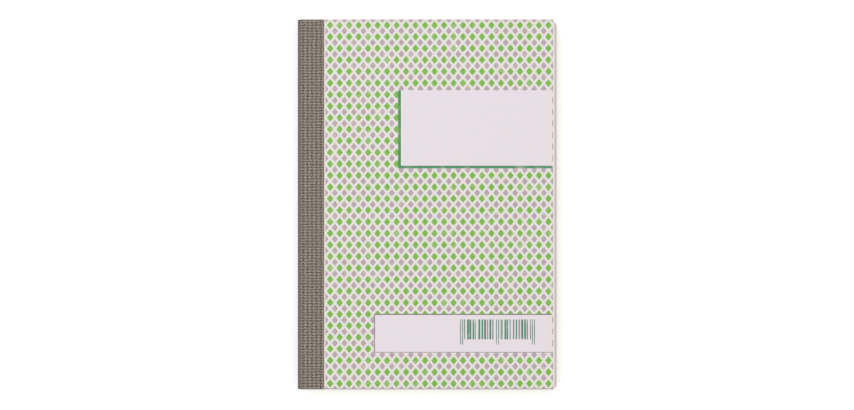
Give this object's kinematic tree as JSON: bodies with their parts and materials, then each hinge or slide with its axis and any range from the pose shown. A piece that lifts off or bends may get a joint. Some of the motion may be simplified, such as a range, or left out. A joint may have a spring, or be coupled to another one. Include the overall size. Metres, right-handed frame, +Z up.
{
  "type": "carbonless duplicate book",
  "caption": "Upright A5 duplicate book: sets of a white original and a yellow copy, side-stapled between card covers under a grained spine tape, with a loose writing shield.",
  "frame": {"origin": "on the surface the book lies on, under the middle of its outline", "axes": "+X from the spine to the fore-edge, +Y from the tail to the head, +Z up from the back cover to the front cover"},
  "size_m": [0.1474, 0.21, 0.009],
  "materials": {
    "printed_card": "satin card, printed on the outside with a small geometric repeat",
    "back_board": "smooth uncoated board",
    "shield_board": "smooth uncoated board, mauve-grey",
    "grained_tape": "embossed grey-brown cloth paper",
    "white_paper": "matt uncoated paper with a faint printed grid",
    "yellow_paper": "matt uncoated pale yellow paper with a faint printed grid",
    "set_paper": "matt paper, a white sheet over a pale yellow one",
    "steel_wire": "bright flat staple wire"
  },
  "bodies": {
    "book": {"back_cover": "back_board", "copy_01_stub": "yellow_paper", "front_cover_bound_edge": "printed_card", "original_01_stub": "white_paper", "set_02": "set_paper", "set_03": "set_paper", "set_04": "set_paper", "set_05": "set_paper", "set_06": "set_paper", "set_07": "set_paper", "set_08": "set_paper", "set_09": "set_paper", "set_10": "set_paper", "set_11": "set_paper", "set_12": "set_paper", "set_13": "set_paper", "set_14": "set_paper", "set_15": "set_paper", "set_16": "set_paper", "set_17": "set_paper", "set_18": "set_paper", "set_19": "set_paper", "set_20": "set_paper", "set_21": "set_paper", "set_22": "set_paper", "set_23": "set_paper", "set_24": "set_paper", "set_25": "set_paper", "set_26": "set_paper", "set_27": "set_paper", "set_28": "set_paper", "set_29": "set_paper", "set_30": "set_paper", "set_31": "set_paper", "set_32": "set_paper", "set_33": "set_paper", "set_34": "set_paper", "set_35": "set_paper", "set_36": "set_paper", "set_37": "set_paper", "set_38": "set_paper", "set_39": "set_paper", "set_40": "set_paper", "set_41": "set_paper", "set_42": "set_paper", "set_43": "set_paper", "set_44": "set_paper", "set_45": "set_paper", "set_46": "set_paper", "set_47": "set_paper", "set_48": "set_paper", "set_49": "set_paper", "set_50": "set_paper", "spine_tape": "grained_tape", "staple_head": "steel_wire", "staple_tail": "steel_wire"},
    "cover": {"front_cover": "printed_card"},
    "original": {"original_01": "white_paper"},
    "copy": {"copy_01": "yellow_paper"},
    "shield": {"writing_shield": "shield_board"}
  },
  "joints": [
    {"name": "front_cover_hinge", "type": "hinge", "parent": "book", "child": "cover", "pos_m": [-0.05805, 0, 0.00902], "axis": [0, -1, 0], "range_deg": [0, 178]},
    {"name": "original_01_turn", "type": "hinge", "parent": "book", "child": "original", "pos_m": [-0.05805, 0, 0.00902], "axis": [0, -1, 0], "range_deg": [0, 172]},
    {"name": "copy_01_turn", "type": "hinge", "parent": "book", "child": "copy", "pos_m": [-0.05805, 0, 0.00902], "axis": [0, -1, 0], "range_deg": [0, 166]},
    {"name": "writing_shield_slide", "type": "slide", "parent": "book", "child": "shield", "axis": [1, 0, 0], "range_m": [0, 0.125]}
  ],
  "couplings": [
    {"joint": "original_01_turn", "follows": "front_cover_hinge", "ratio": 0.96629},
    {"joint": "copy_01_turn", "follows": "front_cover_hinge", "ratio": 0.93258}
  ]
}
